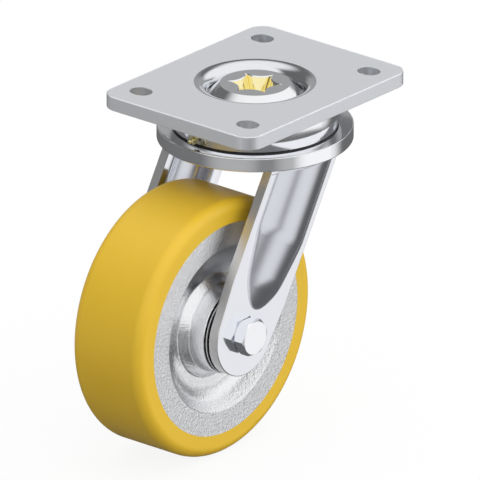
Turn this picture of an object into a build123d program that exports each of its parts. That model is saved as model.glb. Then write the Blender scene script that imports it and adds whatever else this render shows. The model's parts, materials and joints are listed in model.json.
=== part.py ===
"""Swivel castor with a slotted top plate, a pressed fork and a cast wheel with a bonded tyre.

Millimetres. The origin is the centre of the plate's top face, on the swivel axis. Z points up,
X lies along the wheel's axle, and the wheel trails towards -Y.
"""
import math
import os

from build123d import *

os.makedirs("parts", exist_ok=True)

# Overall layout
castor_height = 200.0
wheel_top_drop = 50.0
swivel_offset = 55.0
running_gap = 0.3
fit_gap = 0.02

# Top plate
plate_width = 110.0
plate_length = 140.0
plate_thickness = 8.0
plate_corner_radius = 11.0
plate_edge_radius = 0.5
slot_spacing_x = 77.5
slot_spacing_y = 105.0
slot_width = 11.0
slot_length = 13.5
well_radius = 26.7
well_land = 0.7

# Kingpin, its six-pointed socket and its nut
kingpin_face_radius = 19.8
kingpin_face_depth = 0.8
kingpin_head_gap = 0.5
kingpin_flange_height = 1.2
spindle_radius = 14.0
spindle_length = 19.0
kingpin_thread_radius = 10.0
kingpin_nut_flats = 30.0
kingpin_nut_height = 9.0
kingpin_thread_tail = 2.0
socket_points = 6
socket_tip_radius = 15.6
socket_waist_radius = 9.9
socket_depth = 8.0
socket_taper = 0.68
socket_tip_round = 0.25
socket_mouth_flare = 1.05
socket_mouth_depth = 0.5

# Upper race cup, pressed from thick sheet
cup_sheet = 4.0
cup_top_radius = 48.9
cup_mouth_radius = 46.7
cup_belly_bulge = 0.7
cup_height = 16.1

# Swivel ball rows
upper_ball_radius = 5.0
upper_pitch_radius = 38.5
upper_ball_drop = 10.5
upper_ball_count = 22
lower_ball_radius = 4.0
lower_pitch_radius = 22.0
lower_ball_count = 15
race_gap = 0.1
race_shoulder_angle = 120.0

# Swivel head
head_radius = 55.0
head_rim_height = 8.3
head_rim_top_drop = 24.5
head_dish_depth = 0.5
head_edge_radius = 0.6
head_bore_gap = 1.5
head_land_drop = 2.5

# Dust seal
seal_height = 1.6
seal_seat_margin = 0.2

# Lower race
lower_race_radius = 27.0
lower_race_flange = 3.4
lower_race_land = 0.6

# Grease nipple
nipple_angle = -93.0
nipple_drop = 12.5
nipple_seat_depth = 1.6
nipple_flats = 5.0
nipple_base_length = 2.6
nipple_neck_radius = 1.2
nipple_neck_length = 1.6
nipple_ball_radius = 1.7

# Fork legs, pressed from sheet
leg_sheet = 6.0
fork_clearance = 33.0
leg_width = 52.0
leg_end_radius = 24.0
leg_waist_run = 25.0
leg_edge_radius = 0.5
leg_top_radius = 5.0
bead_radius = 31.0
bead_height = 8.0
bead_foot_gap = 15.4
bead_nose_run = 15.0
bead_taper_run = 28.0
bead_taper_drop = 3.5
bead_kink_blend = 45.0
bead_crease_radius = 5.0
edge_search_margin = 1.0

# Axle
bolt_radius = 6.0
bolt_hole_gap = 0.2
bolt_head_flats = 19.0
bolt_head_height = 7.5
bolt_face_radius = 9.0
bolt_face_height = 0.4
bolt_tail = 2.0
washer_radius = 12.0
washer_thickness = 2.5
axle_nut_height = 10.5
hex_chamfer_angle = 30.0
thread_chamfer = 1.0
axle_tube_radius = 8.5
axle_tube_wall = 2.3

# Wheel bearings
bearing_radius = 20.0
bearing_width = 12.0
bearing_ball_radius = 3.4
bearing_ball_count = 8
bearing_pitch_radius = 14.25
inner_land_radius = 12.0
outer_land_radius = 16.6
bearing_edge_radius = 0.6
bearing_seal_thickness = 0.8
bearing_seal_inset = 0.4
cage_half_width = 4.2
cage_wall = 1.4
bearing_setback = 1.0
sleeve_wall = 2.6

# Dust discs beside the hub
disc_radius = 24.2
disc_thickness = 0.8
disc_boss_radius = 11.4
disc_hub_gap = 1.3

# Wheel centre and tyre
wheel_width = 50.0
tyre_thickness = 13.0
tread_shoulder_share = 0.46
rim_depth = 13.4
rim_edge_radius = 1.0
dish_floor_share = 0.54
dish_fillet_share = 0.66
web_half_thickness = 15.0
hub_foot_radius = 30.0
hub_foot_fillet = 1.5
hub_shoulder_radius = 25.7
hub_shoulder_reach = 19.7
hub_shoulder_fillet = 1.2
hub_end_radius = 24.6
hub_edge_radius = 0.5
hub_length = 58.8
hub_bore_radius = 17.0

# Heights on the swivel axis, all measured from the top face
plate_bottom = -plate_thickness
cup_bottom = plate_bottom - cup_height
upper_ball_z = plate_bottom - upper_ball_drop
cup_ceiling = plate_bottom - cup_sheet
head_land_top = cup_ceiling - head_land_drop
head_rim_top = -head_rim_top_drop
head_bottom = head_rim_top - head_rim_height
upper_groove_radius = upper_ball_radius + race_gap
lower_groove_radius = lower_ball_radius + race_gap
spindle_bottom = plate_bottom - spindle_length
lower_ceiling = spindle_bottom + lower_race_land
lower_ball_z = lower_ceiling - lower_groove_radius
lower_race_floor = lower_ball_z - lower_groove_radius
lower_race_bottom = lower_race_floor - lower_race_flange
kingpin_nut_bottom = lower_race_bottom - kingpin_nut_height
kingpin_bottom = kingpin_nut_bottom - kingpin_thread_tail
seal_top = cup_bottom - running_gap
seal_bottom = seal_top - seal_height
seal_seat_outer = cup_mouth_radius + seal_seat_margin
lower_groove_edge = lower_pitch_radius + lower_groove_radius
cup_skirt_bore = upper_pitch_radius + upper_groove_radius

# The wheel's own radii, from the height that is left for it
wheel_radius = (castor_height - wheel_top_drop) / 2
rim_outer_radius = wheel_radius - tyre_thickness
rim_inner_radius = rim_outer_radius - rim_depth
dish_reach = rim_inner_radius - hub_foot_radius
dish_floor_radius = hub_foot_radius + dish_reach * dish_floor_share
dish_fillet_radius = dish_reach * dish_fillet_share

# The axle, and where things lie along it
axle_z = wheel_radius - castor_height
axle_point = (0, -swivel_offset, axle_z)
axle_axis = Axis(axle_point, (1, 0, 0))
axle_plane = Plane(origin=axle_point, x_dir=(1, 0, 0), z_dir=(0, -1, 0))
leg_inner = fork_clearance
leg_outer = fork_clearance + leg_sheet
hub_end = hub_length / 2
bearing_outer_face = hub_end - bearing_setback
bearing_centre = bearing_outer_face - bearing_width / 2
bearing_inner_face = bearing_outer_face - bearing_width
sides = (("right", 1), ("left", -1))


def annulus(inner, outer, low, high):
    """Draw the half section of a plain ring, radius across and height up."""
    with Locations(((inner + outer) / 2, (low + high) / 2)):
        Rectangle(outer - inner, high - low)


def axle_ring(inner, outer, start, end):
    """Draw the half section of a plain ring about the axle, length across and radius up."""
    with Locations(((start + end) / 2, (inner + outer) / 2)):
        Rectangle(abs(end - start), outer - inner)


def socket_outline(scale):
    """Draw the socket: walls that bow in towards the axis and meet in narrow rounded tips."""
    step = 360 / socket_points
    tips = [Vector(0, socket_tip_radius * scale).rotate(Axis.Z, step * i) for i in range(socket_points)]
    waist = Vector(0, socket_waist_radius * scale).rotate(Axis.Z, step / 2)
    with BuildSketch() as outline:
        with BuildLine():
            for i in range(socket_points):
                ThreePointArc(tips[i], waist.rotate(Axis.Z, step * i), tips[(i + 1) % socket_points])
        make_face()
        fillet(outline.vertices(), radius=socket_tip_round * scale)
    return outline.sketch


def chamfered_hexagon(flats, height, ends):
    """Build a hexagon prism up from Z 0, with its corners turned off at the given ends."""
    corner = flats / 2 / math.cos(math.radians(30))
    drop = (corner - flats / 2) * math.tan(math.radians(hex_chamfer_angle))
    base = [(flats / 2, 0), (corner, drop)] if "base" in ends else [(corner, 0)]
    top = [(corner, height - drop), (flats / 2, height)] if "top" in ends else [(corner, height)]
    with BuildPart() as body:
        with BuildSketch():
            RegularPolygon(corner, 6)
        extrude(amount=height)
        with BuildSketch(Plane.XZ):
            with BuildLine():
                Polyline((0, 0), *base, *top, (0, height), (0, 0))
            make_face()
        revolve(axis=Axis.Z, mode=Mode.INTERSECT)
    return body.part


# The plate is flame-cut or stamped, with the well's edge rolled over into the bore
with BuildPart() as top_plate:
    with BuildSketch(Plane.XY.offset(plate_bottom)):
        RectangleRounded(plate_width, plate_length, plate_corner_radius)
        Circle(well_radius, mode=Mode.SUBTRACT)
        with GridLocations(slot_spacing_x, slot_spacing_y, 2, 2):
            SlotOverall(slot_length, slot_width, mode=Mode.SUBTRACT)
    extrude(amount=plate_thickness)
    well_edge = top_plate.edges().filter_by(GeomType.CIRCLE).filter_by(
        lambda edge: abs(edge.radius - well_radius) < 0.01).sort_by(Axis.Z)[-1]
    fillet(well_edge, radius=plate_thickness - well_land)
    top_rim = top_plate.faces().filter_by(Plane.XY).sort_by(Axis.Z)[-1].outer_wire().edges()
    bottom_rim = top_plate.faces().filter_by(Plane.XY).sort_by(Axis.Z)[0].outer_wire().edges()
    fillet(top_rim + bottom_rim, radius=plate_edge_radius)
top_plate.part.label = "top_plate"
export_step(top_plate.part, "parts/top_plate.step")

# The cup's mouth turns down over the balls, and its groove holds them from above and outside
with BuildPart() as upper_race_cup:
    with BuildSketch(Plane.XZ):
        groove_start = Vector(upper_pitch_radius, upper_ball_z) + Vector(upper_groove_radius, 0).rotate(
            Axis.Z, race_shoulder_angle)
        groove_crown = (upper_pitch_radius, upper_ball_z + upper_groove_radius)
        groove_end = (cup_skirt_bore, upper_ball_z)
        ceiling_edge = (groove_start.X - (cup_ceiling - groove_start.Y), cup_ceiling)
        belly = ((cup_top_radius + cup_mouth_radius) / 2 + cup_belly_bulge, (plate_bottom + cup_bottom) / 2)
        with BuildLine():
            Polyline((spindle_radius + fit_gap, cup_ceiling), ceiling_edge, groove_start)
            ThreePointArc(groove_start, groove_crown, groove_end)
            Polyline(groove_end, (cup_skirt_bore, cup_bottom), (cup_mouth_radius, cup_bottom))
            ThreePointArc((cup_mouth_radius, cup_bottom), belly, (cup_top_radius, plate_bottom))
            Polyline((cup_top_radius, plate_bottom), (spindle_radius + fit_gap, plate_bottom),
                     (spindle_radius + fit_gap, cup_ceiling))
        make_face()
    revolve(axis=Axis.Z)
upper_race_cup.part.label = "upper_race_cup"
export_step(upper_race_cup.part, "parts/upper_race_cup.step")

# The kingpin's head fills the well, its spindle passes the cup, and its thread takes the nut
with BuildPart() as kingpin:
    with BuildSketch(Plane.XZ):
        head_edge = well_radius - kingpin_head_gap
        with BuildLine():
            Polyline((0, -kingpin_face_depth), (kingpin_face_radius, -kingpin_face_depth),
                     (head_edge, plate_bottom + kingpin_flange_height), (head_edge, plate_bottom),
                     (spindle_radius, plate_bottom), (spindle_radius, spindle_bottom),
                     (kingpin_thread_radius, spindle_bottom), (kingpin_thread_radius, kingpin_bottom + thread_chamfer),
                     (kingpin_thread_radius - thread_chamfer, kingpin_bottom), (0, kingpin_bottom),
                     (0, -kingpin_face_depth))
        make_face()
    revolve(axis=Axis.Z)
    mouth_bottom = -kingpin_face_depth - socket_mouth_depth
    with BuildSketch(Plane.XY.offset(-kingpin_face_depth)):
        add(socket_outline(socket_mouth_flare))
    with BuildSketch(Plane.XY.offset(mouth_bottom)):
        add(socket_outline(1))
    loft(mode=Mode.SUBTRACT)
    with BuildSketch(Plane.XY.offset(mouth_bottom)):
        add(socket_outline(1))
    with BuildSketch(Plane.XY.offset(-kingpin_face_depth - socket_depth)):
        add(socket_outline(socket_taper))
    loft(mode=Mode.SUBTRACT)
kingpin.part.label = "kingpin"
export_step(kingpin.part, "parts/kingpin.step")

# The swivel head carries one ball groove above, inside the cup, and one below
with BuildPart() as swivel_head:
    with BuildSketch(Plane.XZ):
        bore = spindle_radius + head_bore_gap
        land_edge = upper_pitch_radius - upper_groove_radius
        upper_floor = upper_ball_z - upper_groove_radius
        seat_step = cup_skirt_bore - running_gap
        annulus_inner_z = head_rim_top - head_dish_depth
        groove_corner = upper_groove_radius * math.sqrt(0.5)
        lower_corner = lower_groove_radius * math.sqrt(0.5)
        with BuildLine():
            Polyline((bore, head_land_top), (land_edge, head_land_top), (land_edge, upper_ball_z))
            ThreePointArc((land_edge, upper_ball_z),
                          (upper_pitch_radius - groove_corner, upper_ball_z - groove_corner),
                          (upper_pitch_radius, upper_floor))
            Polyline((upper_pitch_radius, upper_floor), (seat_step, upper_floor), (seat_step, seal_bottom),
                     (seal_seat_outer, seal_bottom), (seal_seat_outer, annulus_inner_z),
                     (head_radius, head_rim_top), (head_radius, head_bottom),
                     (lower_groove_edge, head_bottom), (lower_groove_edge, lower_ball_z))
            ThreePointArc((lower_groove_edge, lower_ball_z),
                          (lower_pitch_radius + lower_corner, lower_ball_z + lower_corner),
                          (lower_pitch_radius, lower_ceiling))
            Polyline((lower_pitch_radius, lower_ceiling), (bore, lower_ceiling), (bore, head_land_top))
        make_face()
    revolve(axis=Axis.Z)
    rim_edges = swivel_head.edges().filter_by(GeomType.CIRCLE).filter_by(
        lambda edge: abs(edge.radius - head_radius) < 0.01)
    fillet(rim_edges, radius=head_edge_radius)
swivel_head.part.label = "swivel_head"
export_step(swivel_head.part, "parts/swivel_head.step")

# The dust seal lies in the head's step and stands just short of the cup's mouth
with BuildPart() as dust_seal:
    with BuildSketch(Plane.XZ):
        annulus(cup_skirt_bore - running_gap + fit_gap, seal_seat_outer - fit_gap, seal_bottom, seal_top)
    revolve(axis=Axis.Z)
dust_seal.part.label = "dust_seal"
export_step(dust_seal.part, "parts/dust_seal.step")

# The lower race is clamped between the spindle's shoulder and the nut
with BuildPart() as lower_race:
    with BuildSketch(Plane.XZ):
        race_bore = kingpin_thread_radius + fit_gap
        race_land = lower_pitch_radius - lower_groove_radius
        with BuildLine():
            Polyline((race_bore, spindle_bottom), (race_land, spindle_bottom), (race_land, lower_ball_z))
            ThreePointArc((race_land, lower_ball_z),
                          (lower_pitch_radius - lower_corner, lower_ball_z - lower_corner),
                          (lower_pitch_radius, lower_race_floor))
            Polyline((lower_pitch_radius, lower_race_floor), (lower_race_radius, lower_race_floor),
                     (lower_race_radius, lower_race_bottom), (race_bore, lower_race_bottom),
                     (race_bore, spindle_bottom))
        make_face()
    revolve(axis=Axis.Z)
lower_race.part.label = "lower_race"
export_step(lower_race.part, "parts/lower_race.step")


nut_blank = chamfered_hexagon(kingpin_nut_flats, kingpin_nut_height, ("base",))
with BuildPart() as kingpin_nut:
    with Locations((0, 0, kingpin_nut_bottom)):
        add(nut_blank)
    Cylinder(kingpin_thread_radius + fit_gap, castor_height, mode=Mode.SUBTRACT)
kingpin_nut.part.label = "kingpin_nut"
export_step(kingpin_nut.part, "parts/kingpin_nut.step")

# The grease nipple is screwed into the cup's side and points away from the swivel axis
nipple_z = plate_bottom - nipple_drop
nipple_direction = Vector(1, 0, 0).rotate(Axis.Z, nipple_angle)
nipple_seat = nipple_direction * (cup_mouth_radius + nipple_seat_depth) + Vector(0, 0, nipple_z)
nipple_plane = Plane(origin=nipple_seat, x_dir=(0, 0, 1), z_dir=nipple_direction)
with BuildPart() as grease_nipple:
    with BuildSketch(nipple_plane):
        RegularPolygon(nipple_flats / 2, 6, major_radius=False)
    extrude(amount=nipple_base_length)
    with BuildSketch(nipple_plane.offset(nipple_base_length)):
        Circle(nipple_neck_radius)
    extrude(amount=nipple_neck_length)
    with Locations(nipple_plane.offset(nipple_base_length + nipple_neck_length)):
        Sphere(nipple_ball_radius)
grease_nipple.part.label = "grease_nipple"
export_step(grease_nipple.part, "parts/grease_nipple.step")

# A leg runs straight from the head down to the axle, and a broad bead is pressed out along it
leg_root = Vector(0, 0, head_bottom)
leg_run = Vector(0, -swivel_offset, axle_z) - leg_root
leg_length = leg_run.length
leg_direction = leg_run.normalized()
leg_across = Vector(0, leg_direction.Z, -leg_direction.Y)
leg_lean = math.atan2(swivel_offset, head_bottom - axle_z)
leg_half = leg_width / 2
root_half = leg_half / math.cos(leg_lean)
bead_sink = bead_radius - bead_height
bead_half = math.sqrt(bead_radius ** 2 - bead_sink ** 2)
bead_end = leg_length - bead_foot_gap
bead_nose_start = bead_end - bead_nose_run
bead_taper_start = bead_nose_start - bead_taper_run
bead_plane = Plane(origin=leg_root + Vector(leg_outer - bead_sink, 0, 0), x_dir=leg_direction, z_dir=(-1, 0, 0))
bead_axis = Axis(bead_plane.origin, -leg_direction)


def leg_point(along, across):
    """Give a place on the leg in Y and Z, from its root down the leg and across it."""
    place = leg_root + leg_direction * along + leg_across * across
    return (place.Y, place.Z)


def leg_place(edge):
    """Tell where an edge's middle is: how far down the leg, and how far across it."""
    place = edge @ 0.5 - leg_root
    return place.dot(leg_direction), abs(place.dot(leg_across))


def bead_section(inset):
    """Draw the half section of the bead about its own axis, thinner by the inset."""
    radius = bead_radius - inset
    nose_top = radius - bead_taper_drop
    nose_end = bead_sink - inset
    with BuildSketch() as section:
        with BuildLine():
            profile = FilletPolyline((-radius, radius), (bead_taper_start, radius), (bead_nose_start, nose_top),
                                     (bead_end, nose_end), radius=bead_kink_blend)
            Polyline(profile @ 1, (bead_end, 0), (-radius, 0), profile @ 0)
        make_face()
    return section.sketch


# The waist's sides leave the leg's full width and meet the round end without a corner
waist_start = Vector(leg_length - leg_waist_run, leg_half)
waist_angle = math.degrees(math.acos(leg_end_radius / math.hypot(leg_waist_run, leg_half)))
waist_bearing = math.degrees(math.atan2(leg_half, -leg_waist_run)) - waist_angle
waist_end = Vector(leg_length, 0) + Vector(leg_end_radius, 0).rotate(Axis.Z, waist_bearing)

with BuildPart() as fork_leg_right:
    with BuildSketch(Plane.YZ.offset(leg_inner)):
        with BuildLine():
            Polyline(leg_point(waist_end.X, waist_end.Y), leg_point(waist_start.X, leg_half),
                     (-root_half, head_bottom), (root_half, head_bottom),
                     leg_point(waist_start.X, -leg_half), leg_point(waist_end.X, -waist_end.Y))
            ThreePointArc(leg_point(waist_end.X, -waist_end.Y), leg_point(leg_length + leg_end_radius, 0),
                          leg_point(waist_end.X, waist_end.Y))
        make_face()
    extrude(amount=leg_sheet)
    with BuildPart(mode=Mode.ADD):
        with BuildSketch(bead_plane):
            add(bead_section(0))
        revolve(axis=bead_axis)
        split(bisect_by=Plane.YZ.offset(leg_inner), keep=Keep.TOP)
        split(bisect_by=Plane.XY.offset(head_bottom), keep=Keep.BOTTOM)
    on_outer = fork_leg_right.edges().filter_by(lambda edge: abs((edge @ 0.5).X - leg_outer) < 0.01)
    crease = on_outer.filter_by(
        lambda edge: leg_place(edge)[1] < bead_half + edge_search_margin
        and leg_place(edge)[0] < bead_end + edge_search_margin
        and (edge @ 0.5).Z < head_bottom - edge_search_margin)
    fillet(crease, radius=bead_crease_radius)
    tops = fork_leg_right.edges().filter_by(Axis.Y).group_by(Axis.Z)[-1]
    fillet(tops.group_by(Axis.X)[-1], radius=leg_top_radius)
    with BuildSketch(bead_plane):
        add(bead_section(leg_sheet))
    revolve(axis=bead_axis, mode=Mode.SUBTRACT)
    mouth = fork_leg_right.edges().filter_by(lambda edge: abs((edge @ 0.5).X - leg_inner) < 0.01).filter_by(
        lambda edge: leg_place(edge)[1] < bead_half + edge_search_margin
        and leg_place(edge)[0] < bead_end + edge_search_margin
        and (edge @ 0.5).Z < head_bottom - edge_search_margin)
    fillet(mouth, radius=bead_crease_radius + leg_sheet)
    with BuildSketch(Plane.YZ.offset(leg_inner)):
        with Locations((-swivel_offset, axle_z)):
            Circle(bolt_radius + bolt_hole_gap)
    extrude(amount=leg_sheet, mode=Mode.SUBTRACT)
    rim = fork_leg_right.edges().filter_by(
        lambda edge: abs((edge @ 0.5).X - leg_outer) < 0.01
        and (edge @ 0.5).Z < head_bottom - leg_top_radius - edge_search_margin
        and (leg_place(edge)[1] > bead_half + edge_search_margin or leg_place(edge)[0] > leg_length + bolt_radius * 2))
    fillet(rim, radius=leg_edge_radius)
fork_leg_right.part.label = "fork_leg_right"
export_step(fork_leg_right.part, "parts/fork_leg_right.step")

with BuildPart() as fork_leg_left:
    mirror(fork_leg_right.part, about=Plane.YZ)
fork_leg_left.part.label = "fork_leg_left"
export_step(fork_leg_left.part, "parts/fork_leg_left.step")

# The bolt passes both legs, with its head on the right and the washer and nut on the left
bolt_end = -leg_outer - washer_thickness - axle_nut_height - bolt_tail
head_plane = Plane(origin=axle_point, x_dir=(0, 1, 0), z_dir=(1, 0, 0))
bolt_head = chamfered_hexagon(bolt_head_flats, bolt_head_height - bolt_face_height, ("base", "top"))
with BuildPart() as axle_bolt:
    with Locations(head_plane.offset(leg_outer + bolt_face_height)):
        add(bolt_head)
    with BuildSketch(head_plane.offset(leg_outer)):
        Circle(bolt_face_radius)
    extrude(amount=bolt_face_height)
    with BuildSketch(head_plane.offset(bolt_end)):
        Circle(bolt_radius)
    extrude(amount=leg_outer - bolt_end)
    chamfer(axle_bolt.edges().sort_by(Axis.X)[0], length=thread_chamfer)
axle_bolt.part.label = "axle_bolt"
export_step(axle_bolt.part, "parts/axle_bolt.step")

with BuildPart() as axle_washer:
    with BuildSketch(axle_plane):
        axle_ring(bolt_radius + bolt_hole_gap, washer_radius, -leg_outer, -leg_outer - washer_thickness)
    revolve(axis=axle_axis)
axle_washer.part.label = "axle_washer"
export_step(axle_washer.part, "parts/axle_washer.step")

nut_start = leg_outer + washer_thickness
axle_nut_blank = chamfered_hexagon(bolt_head_flats, axle_nut_height, ("top",))
with BuildPart() as axle_nut:
    with Locations(Plane(origin=axle_point, x_dir=(0, 1, 0), z_dir=(-1, 0, 0)).offset(nut_start)):
        add(axle_nut_blank)
    with BuildSketch(head_plane.offset(-nut_start)):
        Circle(bolt_radius + fit_gap)
    extrude(amount=-axle_nut_height, mode=Mode.SUBTRACT)
axle_nut.part.label = "axle_nut"
export_step(axle_nut.part, "parts/axle_nut.step")

# The tube carries both inner rings and keeps the legs their distance apart
with BuildPart() as axle_tube:
    with BuildSketch(axle_plane):
        axle_ring(axle_tube_radius - axle_tube_wall, axle_tube_radius, -leg_inner, leg_inner)
    revolve(axis=axle_axis)
axle_tube.part.label = "axle_tube"
export_step(axle_tube.part, "parts/axle_tube.step")

with BuildPart() as bearing_sleeve:
    with BuildSketch(axle_plane):
        axle_ring(axle_tube_radius + fit_gap, axle_tube_radius + sleeve_wall, -bearing_inner_face,
                  bearing_inner_face)
    revolve(axis=axle_axis)
bearing_sleeve.part.label = "bearing_sleeve"
export_step(bearing_sleeve.part, "parts/bearing_sleeve.step")

ball_groove = bearing_ball_radius + race_gap
for side, sign in sides:
    # A dust disc is one turned piece: a boss from the inner ring to the leg, and a thin flange
    with BuildPart() as dust_disc:
        with BuildSketch(axle_plane):
            axle_ring(axle_tube_radius + fit_gap, disc_boss_radius, sign * bearing_outer_face,
                      sign * leg_inner)
            axle_ring(disc_boss_radius - disc_thickness, disc_radius, sign * (hub_end + disc_hub_gap),
                      sign * (hub_end + disc_hub_gap + disc_thickness))
        revolve(axis=axle_axis)
    dust_disc.part.label = f"dust_disc_{side}"
    export_step(dust_disc.part, f"parts/dust_disc_{side}.step")

    with BuildPart() as outer_ring:
        with BuildSketch(axle_plane):
            axle_ring(outer_land_radius, bearing_radius, sign * bearing_inner_face,
                      sign * bearing_outer_face)
            with Locations((sign * bearing_centre, bearing_pitch_radius)):
                Circle(ball_groove, mode=Mode.SUBTRACT)
        revolve(axis=axle_axis)
        outer_corners = outer_ring.edges().filter_by(GeomType.CIRCLE).filter_by(
            lambda edge: abs(edge.radius - bearing_radius) < 0.01)
        fillet(outer_corners, radius=bearing_edge_radius)
    outer_ring.part.label = f"bearing_outer_ring_{side}"
    export_step(outer_ring.part, f"parts/bearing_outer_ring_{side}.step")

    with BuildPart() as inner_ring:
        with BuildSketch(axle_plane):
            axle_ring(axle_tube_radius + fit_gap, inner_land_radius, sign * bearing_inner_face,
                      sign * bearing_outer_face)
            with Locations((sign * bearing_centre, bearing_pitch_radius)):
                Circle(ball_groove, mode=Mode.SUBTRACT)
        revolve(axis=axle_axis)
    inner_ring.part.label = f"bearing_inner_ring_{side}"
    export_step(inner_ring.part, f"parts/bearing_inner_ring_{side}.step")

    race_plane = head_plane.offset(sign * bearing_centre)
    with BuildPart() as ball_set:
        with Locations(race_plane):
            with PolarLocations(bearing_pitch_radius, bearing_ball_count):
                Sphere(bearing_ball_radius)
    ball_set.part.label = f"bearing_balls_{side}"
    export_step(ball_set.part, f"parts/bearing_balls_{side}.step")

    with BuildPart() as cage:
        with BuildSketch(axle_plane):
            axle_ring(bearing_pitch_radius - cage_wall, bearing_pitch_radius + cage_wall,
                      sign * bearing_centre - cage_half_width, sign * bearing_centre + cage_half_width)
        revolve(axis=axle_axis)
        with Locations(race_plane):
            with PolarLocations(bearing_pitch_radius, bearing_ball_count):
                Cylinder(ball_groove, cage_wall * 4, rotation=(0, 90, 0), mode=Mode.SUBTRACT)
    cage.part.label = f"bearing_cage_{side}"
    export_step(cage.part, f"parts/bearing_cage_{side}.step")

    # Each bearing has a seal in both faces, held in the outer ring and clear of the inner ring
    for face, seal_face in (("outer", bearing_outer_face - bearing_seal_inset),
                            ("inner", bearing_inner_face + bearing_seal_inset + bearing_seal_thickness)):
        with BuildPart() as seal:
            with BuildSketch(axle_plane):
                axle_ring(inner_land_radius + running_gap, outer_land_radius - fit_gap, sign * seal_face,
                          sign * (seal_face - bearing_seal_thickness))
            revolve(axis=axle_axis)
        seal.part.label = f"bearing_seal_{face}_{side}"
        export_step(seal.part, f"parts/bearing_seal_{face}_{side}.step")

# The wheel centre is one casting: rim, dished web and hub, bored for the bearings from both ends
with BuildPart() as wheel_centre:
    with BuildSketch(axle_plane):
        half_width = wheel_width / 2
        with BuildLine():
            FilletPolyline((0, hub_bore_radius), (hub_end, hub_bore_radius), (hub_end, hub_end_radius),
                           (hub_shoulder_reach, hub_shoulder_radius), (web_half_thickness, hub_foot_radius),
                           (web_half_thickness, dish_floor_radius), (half_width, rim_inner_radius),
                           (half_width, rim_outer_radius), (0, rim_outer_radius),
                           radius=(0, hub_edge_radius, hub_shoulder_fillet, hub_foot_fillet,
                                   dish_fillet_radius, rim_edge_radius, 0))
            Line((0, rim_outer_radius), (0, hub_bore_radius))
        make_face()
        mirror(about=Plane.YZ)
    revolve(axis=axle_axis)
    for side, sign in sides:
        with BuildSketch(axle_plane):
            axle_ring(0, bearing_radius + fit_gap, sign * bearing_inner_face, sign * hub_end)
        revolve(axis=axle_axis, mode=Mode.SUBTRACT)
wheel_centre.part.label = "wheel_centre"
export_step(wheel_centre.part, "parts/wheel_centre.step")

with BuildPart() as tyre:
    with BuildSketch(axle_plane):
        axle_ring(rim_outer_radius, wheel_radius, -half_width, half_width)
    revolve(axis=axle_axis)
    shoulders = tyre.edges().filter_by(GeomType.CIRCLE).filter_by(
        lambda edge: abs(edge.radius - wheel_radius) < 0.01)
    fillet(shoulders, radius=(wheel_radius - rim_outer_radius) * tread_shoulder_share)
tyre.part.label = "tyre"
export_step(tyre.part, "parts/tyre.step")

# Both swivel rows are full of balls, with no cage
with BuildPart() as upper_swivel_balls:
    with Locations((0, 0, upper_ball_z)):
        with PolarLocations(upper_pitch_radius, upper_ball_count):
            Sphere(upper_ball_radius)
upper_swivel_balls.part.label = "upper_swivel_balls"
export_step(upper_swivel_balls.part, "parts/upper_swivel_balls.step")

with BuildPart() as lower_swivel_balls:
    with Locations((0, 0, lower_ball_z)):
        with PolarLocations(lower_pitch_radius, lower_ball_count):
            Sphere(lower_ball_radius)
lower_swivel_balls.part.label = "lower_swivel_balls"
export_step(lower_swivel_balls.part, "parts/lower_swivel_balls.step")
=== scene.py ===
# %% [markdown]
# # A swivel castor, dressed and photographed
#
# The castor's solids arrive finished from the workshop: plate, swivel head, pressed fork, cast
# wheel and all the small pieces inside. Nothing here moves or reshapes them. This notebook gives
# every surface its finish, sets a studio round it and puts the camera where the catalogue
# photographer stood. Sizes are in metres: the origin is the middle of the plate's top face, Z
# points up, X lies along the axle and the wheel trails towards -Y. The first cell loads the
# solids and keeps the box that they fill, so that the floor can be laid under them.

# %% Load the solids
import json
import math
from collections import namedtuple

import bpy
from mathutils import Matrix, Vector


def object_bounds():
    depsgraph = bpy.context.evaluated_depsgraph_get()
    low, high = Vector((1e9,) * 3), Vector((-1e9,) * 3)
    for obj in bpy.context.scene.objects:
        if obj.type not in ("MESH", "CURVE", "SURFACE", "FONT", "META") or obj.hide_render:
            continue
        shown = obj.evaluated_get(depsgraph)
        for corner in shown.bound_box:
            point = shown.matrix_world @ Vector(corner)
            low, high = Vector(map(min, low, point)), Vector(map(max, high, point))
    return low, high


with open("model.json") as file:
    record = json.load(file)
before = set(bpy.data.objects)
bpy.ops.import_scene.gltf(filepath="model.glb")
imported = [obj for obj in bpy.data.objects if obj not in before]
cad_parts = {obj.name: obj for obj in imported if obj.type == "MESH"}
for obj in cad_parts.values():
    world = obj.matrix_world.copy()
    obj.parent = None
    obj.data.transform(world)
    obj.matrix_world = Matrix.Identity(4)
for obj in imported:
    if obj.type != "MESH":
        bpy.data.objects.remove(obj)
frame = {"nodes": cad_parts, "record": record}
solid_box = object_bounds()
nodes = frame["nodes"]
print("solids:", len(nodes), "box:", [tuple(round(v, 4) for v in corner) for corner in solid_box])

# %% [markdown]
# ## Wires that can be added and multiplied
#
# A shader is a graph of nodes. Written out link by link it is long and hard to read, so this
# small class wraps a node's output and lets ordinary arithmetic and comparisons add the Math
# nodes. Every other kind of node comes from one method, which sets the node up first and fills
# its sockets after, with values or with wires.


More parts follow.
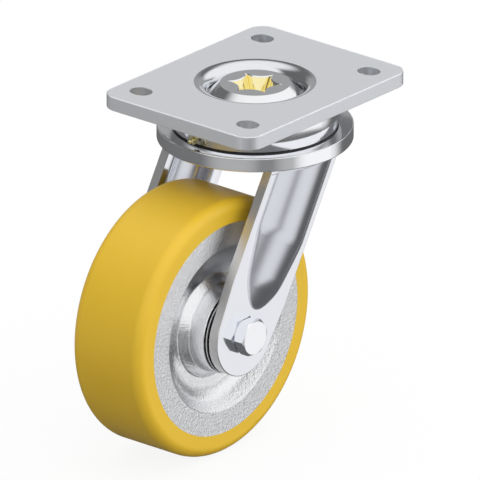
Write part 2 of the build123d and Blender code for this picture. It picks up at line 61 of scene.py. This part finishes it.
# %% The wire and the board it is soldered to
class Wire:
    """A node's output. Arithmetic and comparisons on it add Math nodes."""

    def __init__(self, board, socket):
        self.board = board
        self.socket = socket

    def math(self, operation, other=0.0):
        return self.board.node("ShaderNodeMath", {"operation": operation}, {0: self, 1: other})

    def __add__(self, other):
        return self.math("ADD", other)

    def __sub__(self, other):
        return self.math("SUBTRACT", other)

    def __rsub__(self, other):
        return self.board.node("ShaderNodeMath", {"operation": "SUBTRACT"}, {0: other, 1: self})

    def __mul__(self, other):
        return self.math("MULTIPLY", other)

    def __lt__(self, other):
        return self.math("LESS_THAN", other)

    def __gt__(self, other):
        return self.math("GREATER_THAN", other)

    def __abs__(self):
        return self.math("ABSOLUTE")

    __radd__ = __add__
    __rmul__ = __mul__

    def vector(self, operation, other=(0, 0, 0), out="Vector"):
        return self.board.node("ShaderNodeVectorMath", {"operation": operation}, {0: self, 1: other}, out)

    def along(self, direction):
        """Give how far this vector reaches along a direction."""
        return self.vector("DOT_PRODUCT", direction, "Value")

    def rising(self, zero, one, curve="LINEAR"):
        """Go from 0 to 1 while the value goes from one mark to the other."""
        return self.board.node("ShaderNodeMapRange", {"interpolation_type": curve},
                               {"Value": self, "From Min": zero, "From Max": one})


class Board:
    """A node tree, and the one way to add nodes to it."""

    def __init__(self, tree):
        self.tree = tree
        tree.nodes.clear()

    def node(self, kind, settings=None, sockets=None, out=0):
        """Add a node. It gives back one output as a wire, or a list of them for a list of names."""
        made = self.tree.nodes.new(kind)
        for name, value in (settings or {}).items():
            setattr(made, name, value)
        for key, value in (sockets or {}).items():
            if isinstance(value, Wire):
                self.tree.links.new(value.socket, made.inputs[key])
            else:
                made.inputs[key].default_value = value
        if isinstance(out, list):
            return [Wire(self, made.outputs[name]) for name in out]
        return Wire(self, made.outputs[out]) if made.outputs else None


WHITE = (1, 1, 1, 1)

# %% [markdown]
# ## The camera
#
# The catalogue picture has no vanishing points: its edges stay parallel. An orthographic camera
# would give that too, but a very long lens from far away comes close and stays an ordinary
# perspective camera, whose lens follows from the width of the frame and the distance. It looks a
# little to the side of the swivel axis and below the plate, as the picture was framed.

# %% Place the camera
VIEW_AZIMUTH = math.radians(40.04)
VIEW_ELEVATION = math.radians(22.04)
FRAME_WIDTH = 0.26726
CAMERA_DISTANCE = 12.0
AIM_RIGHT = -0.00841
AIM_UP = -0.08836
SENSOR = 36.0

back = Vector((math.sin(VIEW_AZIMUTH) * math.cos(VIEW_ELEVATION),
               -math.cos(VIEW_AZIMUTH) * math.cos(VIEW_ELEVATION), math.sin(VIEW_ELEVATION)))
right = Vector((math.cos(VIEW_AZIMUTH), math.sin(VIEW_AZIMUTH), 0))
up = back.cross(right)
aim = right * AIM_RIGHT + up * AIM_UP

camera_data = bpy.data.cameras.new("catalogue_camera")
camera_data.sensor_width = SENSOR
camera_data.lens = SENSOR * CAMERA_DISTANCE / FRAME_WIDTH
camera = bpy.data.objects.new("catalogue_camera", camera_data)
camera.location = aim + back * CAMERA_DISTANCE
camera.rotation_mode = "QUATERNION"
camera.rotation_quaternion = (-back).to_track_quat("-Z", "Y")
bpy.context.collection.objects.link(camera)
bpy.context.scene.camera = camera
bpy.context.scene.view_settings.view_transform = "Standard"
print("lens:", round(camera_data.lens), "mm at", CAMERA_DISTANCE, "m")

# %% [markdown]
# ## The studio
#
# Bright zinc has hardly a colour of its own: it shows the room. A real studio hangs white cards
# round the thing and leaves the gaps dark, and the gaps draw its edges. Area lamps could stand in
# for the cards, but then they would light the tyre as well and cross its shadows. So the world
# is the room here. Each card is a window in azimuth and height with soft edges, and where two
# overlap the brighter one counts, as it would with real cards.

# %% Hang the cards
HALF_TURN = 180
ROOM_LEVEL = 0.15

# Degrees: azimuth from +X towards +Y, low and high from the horizon, None where it has no upper edge
Card = namedtuple("Card", "azimuth half_width low high side_blur blur level")
CARDS = {
    "low card on the right": Card(30, 28, -30.5, -6.5, 18, 3, 1.0),
    "soft side of that card": Card(4, 22, -32, -6.5, 21, 5, 0.48),
    "low card on the left": Card(-76, 22, -50, -6, 21, 12, 0.44),
    "gap between the low cards": Card(-30, 45, -36, -6, 30, 8, 0.25),
    "tent over the front": Card(-28, 88, -1.5, None, 12, 3, 1.0),
    "high card on the right": Card(66, 30, 13, None, 12, 8, 1.0),
    "low card behind": Card(-150, 45, -19, -4, 16, 3, 0.65),
    "back wall": Card(124, 34, 3, 26, 12, 5, 0.38),
    "sheet behind": Card(130, 12, 0, 9, 8, 5, 0.9),
    "ceiling": Card(0, HALF_TURN, 50, None, 0, 12, 0.97),
}


def cosine(angle):
    return math.cos(math.radians(angle))


def sine(angle):
    return math.sin(math.radians(angle))


def card_window(heading, card):
    """Tell where a ray heads: 1 inside the card, 0 outside it, and soft at the edges."""
    height = heading.along((0, 0, 1))
    window = height.rising(sine(card.low - card.blur), sine(card.low + card.blur), "SMOOTHSTEP")
    if card.half_width < HALF_TURN:
        flat = heading.vector("MULTIPLY", (1, 1, 0)).vector("NORMALIZE")
        facing = flat.along((cosine(card.azimuth), sine(card.azimuth), 0))
        window = window * facing.rising(cosine(min(card.half_width + card.side_blur, HALF_TURN)),
                                        cosine(card.half_width - card.side_blur), "SMOOTHSTEP")
    if card.high is None:
        return window
    return window * height.rising(sine(card.high + card.blur), sine(card.high - card.blur), "SMOOTHSTEP")


world = bpy.data.worlds.new("studio")
bpy.context.scene.world = world
world.use_nodes = True
room = Board(world.node_tree)
heading = room.node("ShaderNodeTexCoord", out="Generated").vector("NORMALIZE")
card_levels = [card_window(heading, card) * (card.level - ROOM_LEVEL) + ROOM_LEVEL for card in CARDS.values()]
shiny_level = card_levels[0]
for card_level in card_levels[1:]:
    shiny_level = shiny_level.math("MAXIMUM", card_level)
print("cards:", ", ".join(CARDS))

# %% [markdown]
# Light that falls on a matt surface comes from the same world, but it needs no cards. It has one
# plain level, so that a colour comes out about as it is written, and that level falls off from
# the upper right of the picture to the lower left, which gives the tyre its round shape. Light
# Path tells the kinds of ray apart: the camera itself sees plain white, metal and glass see the
# cards, and all others the plain level.

# %% Light by kind of ray
PLAIN_LEVEL = 1.0
PLAIN_FALL = (0.50, 0.58, 0.60)


def shine(level):
    return room.node("ShaderNodeBackground", sockets={"Color": WHITE, "Strength": level})


seen, glossy, through = room.node("ShaderNodeLightPath",
                                  out=["Is Camera Ray", "Is Glossy Ray", "Is Transmission Ray"])
plain_light = shine(heading.along(PLAIN_FALL) + PLAIN_LEVEL)
by_surface = room.node("ShaderNodeMixShader",
                       sockets={0: glossy.math("MAXIMUM", through), 1: plain_light, 2: shine(shiny_level)})
shown = room.node("ShaderNodeMixShader", sockets={0: seen, 1: by_surface, 2: shine(1.0)})
room.node("ShaderNodeOutputWorld", sockets={"Surface": shown})
print("plain level:", PLAIN_LEVEL, "and its fall:", PLAIN_FALL)

# %% [markdown]
# ## The floor
#
# The castor stands on a pale sheet that is nearly white up to its edge and still takes a soft
# shadow under the wheel. A white sheet lit by lamps would throw so much light back up that the
# lower half of the tyre goes flat. So the sheet is mostly glow for the camera, with a little pale
# paper under it that holds the shadow, and a darker matt paper for the light that bounces off it.
# Reflections look through it into the room, because the room's lower half is painted as light
# too, and so does anyone who looks up from below it.

# %% Lay the floor
FLOOR_REACH = 3.0
FLOOR_GLOW = 0.90
FLOOR_BOUNCE = (0.31, 0.31, 0.31, 1)
FLOOR_PAPER = (0.73, 0.73, 0.73, 1)

floor_z = solid_box[0].z
floor_mesh = bpy.data.meshes.new("floor")
corners = [(-FLOOR_REACH, -FLOOR_REACH, floor_z), (FLOOR_REACH, -FLOOR_REACH, floor_z),
           (FLOOR_REACH, FLOOR_REACH, floor_z), (-FLOOR_REACH, FLOOR_REACH, floor_z)]
floor_mesh.from_pydata(corners, [], [(0, 1, 2, 3)])
floor = bpy.data.objects.new("floor", floor_mesh)
bpy.context.collection.objects.link(floor)

paper = bpy.data.materials.new("paper_floor")
paper.use_nodes = True
sheet = Board(paper.node_tree)
seen, glossy, through = sheet.node("ShaderNodeLightPath",
                                   out=["Is Camera Ray", "Is Glossy Ray", "Is Transmission Ray"])
from_below = sheet.node("ShaderNodeNewGeometry", out="Backfacing")
matte = sheet.node("ShaderNodeBsdfDiffuse", sockets={"Color": FLOOR_BOUNCE})
pale = sheet.node("ShaderNodeBsdfDiffuse", sockets={"Color": FLOOR_PAPER})
glow = sheet.node("ShaderNodeEmission", sockets={"Color": WHITE, "Strength": 1.0})
clear = sheet.node("ShaderNodeBsdfTransparent")
white = sheet.node("ShaderNodeMixShader", sockets={0: FLOOR_GLOW, 1: pale, 2: glow})
lifted = sheet.node("ShaderNodeMixShader", sockets={0: seen, 1: matte, 2: white})
open_ray = glossy.math("MAXIMUM", through).math("MAXIMUM", from_below)
mixed = sheet.node("ShaderNodeMixShader", sockets={0: open_ray, 1: lifted, 2: clear})
sheet.node("ShaderNodeOutputMaterial", sockets={"Surface": mixed})
floor.data.materials.append(paper)
print("floor at", round(floor_z, 4), "m")

# %% [markdown]
# ## Finishes
#
# One function starts each finish from a Principled shader, with its steady values set straight
# on the sockets and only what varies over the surface linked in. The patterns hang on the
# object's own coordinates, so they ride with a piece when it turns. Image textures would have to
# be unwrapped and painted for each piece. Noise needs neither, and it stays sharp close up.


# %% A place to start each finish
def finish(name, steady, vary):
    """Make a material from the shader's steady values and a function that builds the varying ones."""
    material = bpy.data.materials.new(name)
    material.use_nodes = True
    board = Board(material.node_tree)
    place = board.node("ShaderNodeTexCoord", out="Object")
    shader = board.node("ShaderNodeBsdfPrincipled", sockets={**steady, **vary(board, place)})
    board.node("ShaderNodeOutputMaterial", sockets={"Surface": shader})
    return material


def noise(board, place, scale, detail=3.0, roughness=0.5):
    return board.node("ShaderNodeTexNoise",
                      sockets={"Vector": place, "Scale": scale, "Detail": detail, "Roughness": roughness})


def bump(board, height, strength, distance):
    return board.node("ShaderNodeBump",
                      sockets={"Height": height, "Strength": strength, "Distance": distance})


# A Mix node has sockets for each type of data, and these are the ones for colour
MIX_AMOUNT, MIX_FIRST, MIX_SECOND, MIX_COLOUR = 0, 6, 7, 2


def blend(board, amount, first, second, how="MIX"):
    """Mix two colours, each a wire or three numbers, by an amount from 0 to 1."""
    colours = [tone if isinstance(tone, Wire) else (*tone, 1) for tone in (first, second)]
    return board.node("ShaderNodeMix", {"data_type": "RGBA", "blend_type": how},
                      {MIX_AMOUNT: amount, MIX_FIRST: colours[0], MIX_SECOND: colours[1]}, MIX_COLOUR)


def clouded(board, clouds, tone, cloud):
    """Let a tone go darker by a share of itself where the clouds are low."""
    return blend(board, clouds, tuple(v * (1 - cloud) for v in tone), tone)


# %% [markdown]
# ### Zinc
#
# Electroplated zinc is a mirror that has been breathed on: soft clouds in its tone and in its
# sheen, and a very fine grain. A mirror with one flat tone looks like a drawing, so broad noise
# moves both the tone and the roughness a little, and fine noise tilts the normal. Ground bearing
# steel and the duller turned steel of the dust discs are the same surface in other tones.

# %% Zinc and steel
CLOUD_SCALE = 60.0
SHEEN_SPREAD = 0.4
GRAIN_SCALE = 2500.0
GRAIN_DETAIL = 2.0
GRAIN_STRENGTH = 0.15
GRAIN_DEPTH = 0.00002


def fine_grain(board, place, scale=GRAIN_SCALE):
    return bump(board, noise(board, place, scale, GRAIN_DETAIL), GRAIN_STRENGTH, GRAIN_DEPTH)


def zinc(name, tone, roughness, cloud):
    def vary(board, place):
        clouds = noise(board, place, CLOUD_SCALE)
        return {"Base Color": clouded(board, clouds, tone, cloud),
                "Roughness": clouds * (roughness * SHEEN_SPREAD) + roughness * (1 - SHEEN_SPREAD / 2),
                "Normal": fine_grain(board, place)}

    return finish(name, {"Metallic": 1.0}, vary)


bright_zinc = zinc("bright_zinc", (0.93, 0.94, 0.965), roughness=0.10, cloud=0.05)
fastener_zinc = zinc("fastener_zinc", (0.95, 0.955, 0.98), roughness=0.12, cloud=0.04)
bearing_steel = zinc("bearing_steel", (0.72, 0.72, 0.73), roughness=0.12, cloud=0.04)
disc_steel = zinc("disc_steel", (0.62, 0.62, 0.62), roughness=0.28, cloud=0.06)
nipple_steel = zinc("nipple_steel", (0.80, 0.74, 0.45), roughness=0.2, cloud=0.1)
print("metals: bright zinc, fastener zinc, bearing steel, disc steel, nipple steel")

# %% [markdown]
# ### The legs
#
# A leg is blanked from sheet before it is pressed. Its flat faces come out of the bath like a
# mirror, the sheared edge all round it stays rough and takes a duller, greyer coat, and the bead
# is stretched in the press, which leaves it a little darker and softer. These could be three
# materials on chosen faces, but the solid has one slot for each leg. So masks find them by shape:
# an edge turns away from the sheet's faces and lies between them, and the bead stands out past
# the outer one. Where the inner face is comes from the solid's own box.


# %% Legs with a sheared edge and a drawn bead
def box_of(name):
    """Give the lowest and the highest corner of a solid's box."""
    corners = [nodes[name].matrix_world @ Vector(corner) for corner in nodes[name].bound_box]
    return [tuple(pick(corner[axis] for corner in corners) for axis in range(3)) for pick in (min, max)]


LEG_SHEET = 0.0060
LEG_INNER_FACE = box_of("fork_leg_right")[0][0]
LEG_OUTER_FACE = LEG_INNER_FACE + LEG_SHEET
EDGE_ROUND = 0.0002
EDGE_TILT_NONE = 0.7
EDGE_TILT_FULL = 0.5
# The bead starts a hair past the flat face, so that no rounding of a coordinate takes the face for it
BEAD_START = 0.00002

LEG_ROUGHNESS = 0.09
EDGE_ROUGHNESS = 0.36
BEAD_ROUGHNESS = 0.18
LEG_CLOUDS = 0.04
LEG_TONE = (0.85, 0.865, 0.91)
EDGE_TONE = (0.70, 0.70, 0.70)
BEAD_TINT = (0.80, 0.80, 0.82)


def leg_masks(board, place):
    """Tell a leg's sheared edge and its bead from its flat faces."""
    from_middle = abs(board.node("ShaderNodeSeparateXYZ", sockets={0: place}, out="X"))
    facing = board.node("ShaderNodeNewGeometry", out="Normal")
    sideways = abs(board.node("ShaderNodeSeparateXYZ", sockets={0: facing}, out="X"))
    within = (from_middle < LEG_OUTER_FACE - EDGE_ROUND) * (from_middle > LEG_INNER_FACE + EDGE_ROUND)
    sheared = sideways.rising(EDGE_TILT_NONE, EDGE_TILT_FULL) * within
    return sheared, from_middle > LEG_OUTER_FACE + BEAD_START


def pressed_zinc(name):
    def vary(board, place):
        sheared, drawn = leg_masks(board, place)
        clouds = noise(board, place, CLOUD_SCALE)
        flat = clouded(board, clouds, LEG_TONE, cloud=0.05)
        flat_or_bead = blend(board, drawn, flat, BEAD_TINT, "MULTIPLY")
        edge = clouded(board, clouds, EDGE_TONE, cloud=0.1)
        return {"Base Color": blend(board, sheared, flat_or_bead, edge),
                "Roughness": (clouds * LEG_CLOUDS + LEG_ROUGHNESS + sheared * (EDGE_ROUGHNESS - LEG_ROUGHNESS)
                              + drawn * (BEAD_ROUGHNESS - LEG_ROUGHNESS)),
                "Normal": fine_grain(board, place)}

    return finish(name, {"Metallic": 1.0}, vary)


leg_zinc = pressed_zinc("leg_zinc")
print("legs: sheet from", round(LEG_INNER_FACE, 4), "to", round(LEG_OUTER_FACE, 4), "m")

# %% [markdown]
# ### The plate
#
# The plate is cut from thick sheet. Its top comes out of the bath satin and faintly scratched,
# and its sheared sides are duller and greyer. The well in its middle is rolled over with a
# polished tool, so the satin ends there in a crisp ring and the roll inside it is bright. The
# ring is a circle about the swivel axis, and the sides lie at the plate's own width and length,
# so masks from the coordinates fit them exactly, with no seam between materials.

# %% Plate with a burnished well
WELL_EDGE = 0.0340
WELL_EDGE_BLUR = 0.0003
LEVEL_NONE = 0.5
LEVEL_FULL = 0.9
SIDE_SHARE = 0.985

PLATE_TONE = (0.81, 0.825, 0.855)
SIDE_TONE = (0.72, 0.735, 0.77)
WORN_TINT = (0.7, 0.7, 0.7)
WORN_SHARE = 0.12
SATIN_DULLNESS = 0.3
SIDE_DULLNESS = 0.45
SATIN_ROUGHNESS = 0.36
BRIGHT_ROUGHNESS = 0.08
SIDE_EXTRA_ROUGHNESS = 0.1
PLATE_CLOUDS = 0.05
SCRATCH_ROUGHNESS = 0.04

PLATE_HALF_WIDTH, PLATE_HALF_LENGTH, _ = box_of("top_plate")[1]
print("plate:", round(PLATE_HALF_WIDTH * 2, 4), "by", round(PLATE_HALF_LENGTH * 2, 4), "m")


def burnished_plate_zinc(name):
    def vary(board, place):
        x, y = board.node("ShaderNodeSeparateXYZ", sockets={0: place}, out=["X", "Y"])
        facing = board.node("ShaderNodeNewGeometry", out="Normal")
        upright = abs(board.node("ShaderNodeSeparateXYZ", sockets={0: facing}, out="Z"))
        satin = (x * x + y * y).math("SQRT").rising(WELL_EDGE, WELL_EDGE + WELL_EDGE_BLUR)
        satin_top = satin * upright.rising(LEVEL_NONE, LEVEL_FULL)
        outward = (abs(x) * (1 / PLATE_HALF_WIDTH)).math("MAXIMUM", abs(y) * (1 / PLATE_HALF_LENGTH))
        side = outward > SIDE_SHARE
        clouds = noise(board, place, CLOUD_SCALE)
        scratches = noise(board, place, scale=240.0, detail=4.0, roughness=0.7)
        tone = blend(board, side, PLATE_TONE, SIDE_TONE)
        return {"Base Color": blend(board, clouds * WORN_SHARE, tone, WORN_TINT, "MULTIPLY"),
                "Metallic": 1.0 - satin_top * SATIN_DULLNESS - side * SIDE_DULLNESS,
                "Roughness": (satin * (SATIN_ROUGHNESS - BRIGHT_ROUGHNESS) + BRIGHT_ROUGHNESS
                              + clouds * PLATE_CLOUDS + scratches * SCRATCH_ROUGHNESS
                              + side * SIDE_EXTRA_ROUGHNESS),
                "Normal": fine_grain(board, place, scale=1800.0)}

    return finish(name, {}, vary)


plate_zinc = burnished_plate_zinc("plate_zinc")

# %% [markdown]
# ### The kingpin
#
# The kingpin's face is plated as bright as the rest, and only its six-pointed socket keeps a
# yellow passivation. The socket is a hollow in the same solid, so again a mask finds it: no
# further from the axis than the socket's points, and below its flared mouth.

# %% Kingpin with a yellow socket
SOCKET_REACH = 0.0165
SOCKET_MOUTH_DEPTH = 0.0006
SOCKET_MOUTH = box_of("kingpin")[1][2] - SOCKET_MOUTH_DEPTH
KINGPIN_TONE = (0.90, 0.91, 0.93)
KINGPIN_ROUGHNESS = 0.08
KINGPIN_CLOUDS = 0.06
YELLOW_DEEP = (0.92, 0.80, 0.38)
YELLOW_PALE = (0.98, 0.90, 0.55)


def yellow_socket_zinc(name):
    def vary(board, place):
        x, y, z = board.node("ShaderNodeSeparateXYZ", sockets={0: place}, out=["X", "Y", "Z"])
        socket = ((x * x + y * y).math("SQRT") < SOCKET_REACH) * (z < SOCKET_MOUTH)
        clouds = noise(board, place, CLOUD_SCALE)
        plain = clouded(board, clouds, KINGPIN_TONE, cloud=0.06)
        yellow = blend(board, clouds, YELLOW_DEEP, YELLOW_PALE)
        return {"Base Color": blend(board, socket, plain, yellow),
                "Roughness": clouds * KINGPIN_CLOUDS + KINGPIN_ROUGHNESS}

    return finish(name, {"Metallic": 1.0}, vary)


kingpin_zinc = yellow_socket_zinc("kingpin_zinc")
print("socket: within", SOCKET_REACH, "m of the axis and below", round(SOCKET_MOUTH, 4), "m")

# %% [markdown]
# ### Silver lacquer on a casting
#
# The wheel centre is sand cast and sprayed silver. The lacquer follows the sand's grain, so the
# surface sparkles where the grains tilt towards the light. Two noises make that grain, one for
# the grains and a finer one for pits, and the pits darken the tone as well. The rim's face was
# against the sand all over and is coarser; the dish was drawn from a smoother core. The distance
# from the axle tells the two apart, and the axle's place is read from its tube.

# %% Cast wheel
DISH_REACH = 0.0425
RIM_REACH = 0.0450
DISH_TONE = (0.91, 0.915, 0.93)
RIM_TONE = (0.90, 0.905, 0.92)
SPECKLE_TINT = (0.55, 0.55, 0.56)
SPECKLE_CONTRAST = 2.4
SPECKLE_START = 0.7
SPECKLE_SHARE = 0.25
PIT_RELIEF = 0.5
DISH_RELIEF = 0.5
RIM_EXTRA_RELIEF = 0.3
LACQUER_ROUGHNESS = 0.10
PIT_ROUGHNESS = 0.1

axle_low, axle_high = box_of("axle_tube")
AXLE_Y = (axle_low[1] + axle_high[1]) / 2
AXLE_Z = (axle_low[2] + axle_high[2]) / 2
print("axle at:", round(AXLE_Y, 4), round(AXLE_Z, 4))


def cast_silver(name):
    def vary(board, place):
        y, z = board.node("ShaderNodeSeparateXYZ", sockets={0: place}, out=["Y", "Z"])
        y, z = y - AXLE_Y, z - AXLE_Z
        rim = (y * y + z * z).math("SQRT").rising(DISH_REACH, RIM_REACH, "SMOOTHSTEP")
        grains = noise(board, place, scale=640.0, detail=3.0, roughness=0.6)
        pits = noise(board, place, scale=1500.0, detail=2.0)
        silver = blend(board, rim, DISH_TONE, RIM_TONE)
        speckle = (pits * SPECKLE_CONTRAST - SPECKLE_START) * SPECKLE_SHARE
        relief = (grains + pits * PIT_RELIEF) * (rim * RIM_EXTRA_RELIEF + DISH_RELIEF)
        return {"Base Color": blend(board, speckle, silver, SPECKLE_TINT, "MULTIPLY"),
                "Roughness": pits * PIT_ROUGHNESS + LACQUER_ROUGHNESS,
                "Normal": bump(board, relief, strength=0.7, distance=0.0006)}

    return finish(name, {"Metallic": 1.0}, vary)


cast_wheel = cast_silver("cast_silver")

# %% [markdown]
# ### Yellow tread and black rubber
#
# The tyre is poured polyurethane: a deep egg yellow all through, satin, with a faint unevenness
# from the mould. It could be given scattering under the skin, but at this depth of colour that
# hardly shows and takes long to render, so two noises over a plain shader do it: a broad one for
# the tone and the sheen, and a fine one for the skin. The seals are black rubber with dust on
# them, and one noise gives both the dust's paler tone and its dull bloom.

# %% Tread and rubber
TREAD_DEEP = (0.75, 0.475, 0.024)
TREAD_PALE = (0.80, 0.515, 0.032)
TREAD_ROUGHNESS = 0.34
TREAD_CLOUDS = 0.08

RUBBER_BLACK = (0.008, 0.008, 0.009)
RUBBER_DUSTY = (0.018, 0.018, 0.02)
RUBBER_ROUGHNESS = 0.5
DUST_ROUGHNESS = 0.15


def polyurethane(name):
    def vary(board, place):
        clouds = noise(board, place, scale=35.0)
        skin = noise(board, place, scale=1200.0, detail=2.0)
        return {"Base Color": blend(board, clouds, TREAD_DEEP, TREAD_PALE),
                "Roughness": clouds * TREAD_CLOUDS + TREAD_ROUGHNESS,
                "Normal": bump(board, skin, strength=0.08, distance=0.00005)}

    return finish(name, {"IOR": 1.5, "Specular IOR Level": 0.4}, vary)


def rubber(name):
    def vary(board, place):
        dust = noise(board, place, scale=800.0)
        return {"Base Color": blend(board, dust, RUBBER_BLACK, RUBBER_DUSTY),
                "Roughness": dust * DUST_ROUGHNESS + RUBBER_ROUGHNESS,
                "Normal": bump(board, dust, strength=0.2, distance=0.00005)}

    return finish(name, {}, vary)


tread = polyurethane("yellow_tread")
seal_rubber = rubber("black_rubber")
print("mixed:", tread.name, seal_rubber.name)

# %% [markdown]
# ## Dress the solids
#
# The workshop's record names a material slot for each solid. Most take the finish of that slot,
# and the kingpin and the legs have one of their own, because their looks change over the piece.

# %% Put each finish on
BY_SLOT = {
    "plate_zinc": plate_zinc, "bright_zinc": bright_zinc, "fastener_zinc": fastener_zinc,
    "disc_steel": disc_steel, "nipple_steel": nipple_steel, "bearing_steel": bearing_steel,
    "seal_rubber": seal_rubber, "cast_wheel": cast_wheel, "tread": tread,
}
BY_NODE = {"kingpin": kingpin_zinc, "fork_leg_right": leg_zinc, "fork_leg_left": leg_zinc}

for subpart in frame["record"]["subparts"]:
    name = subpart["node"]
    for slot in nodes[name].material_slots:
        slot.material = BY_NODE.get(name, BY_SLOT[subpart["material_slot"]])
print("dressed:", len(nodes), "solids")
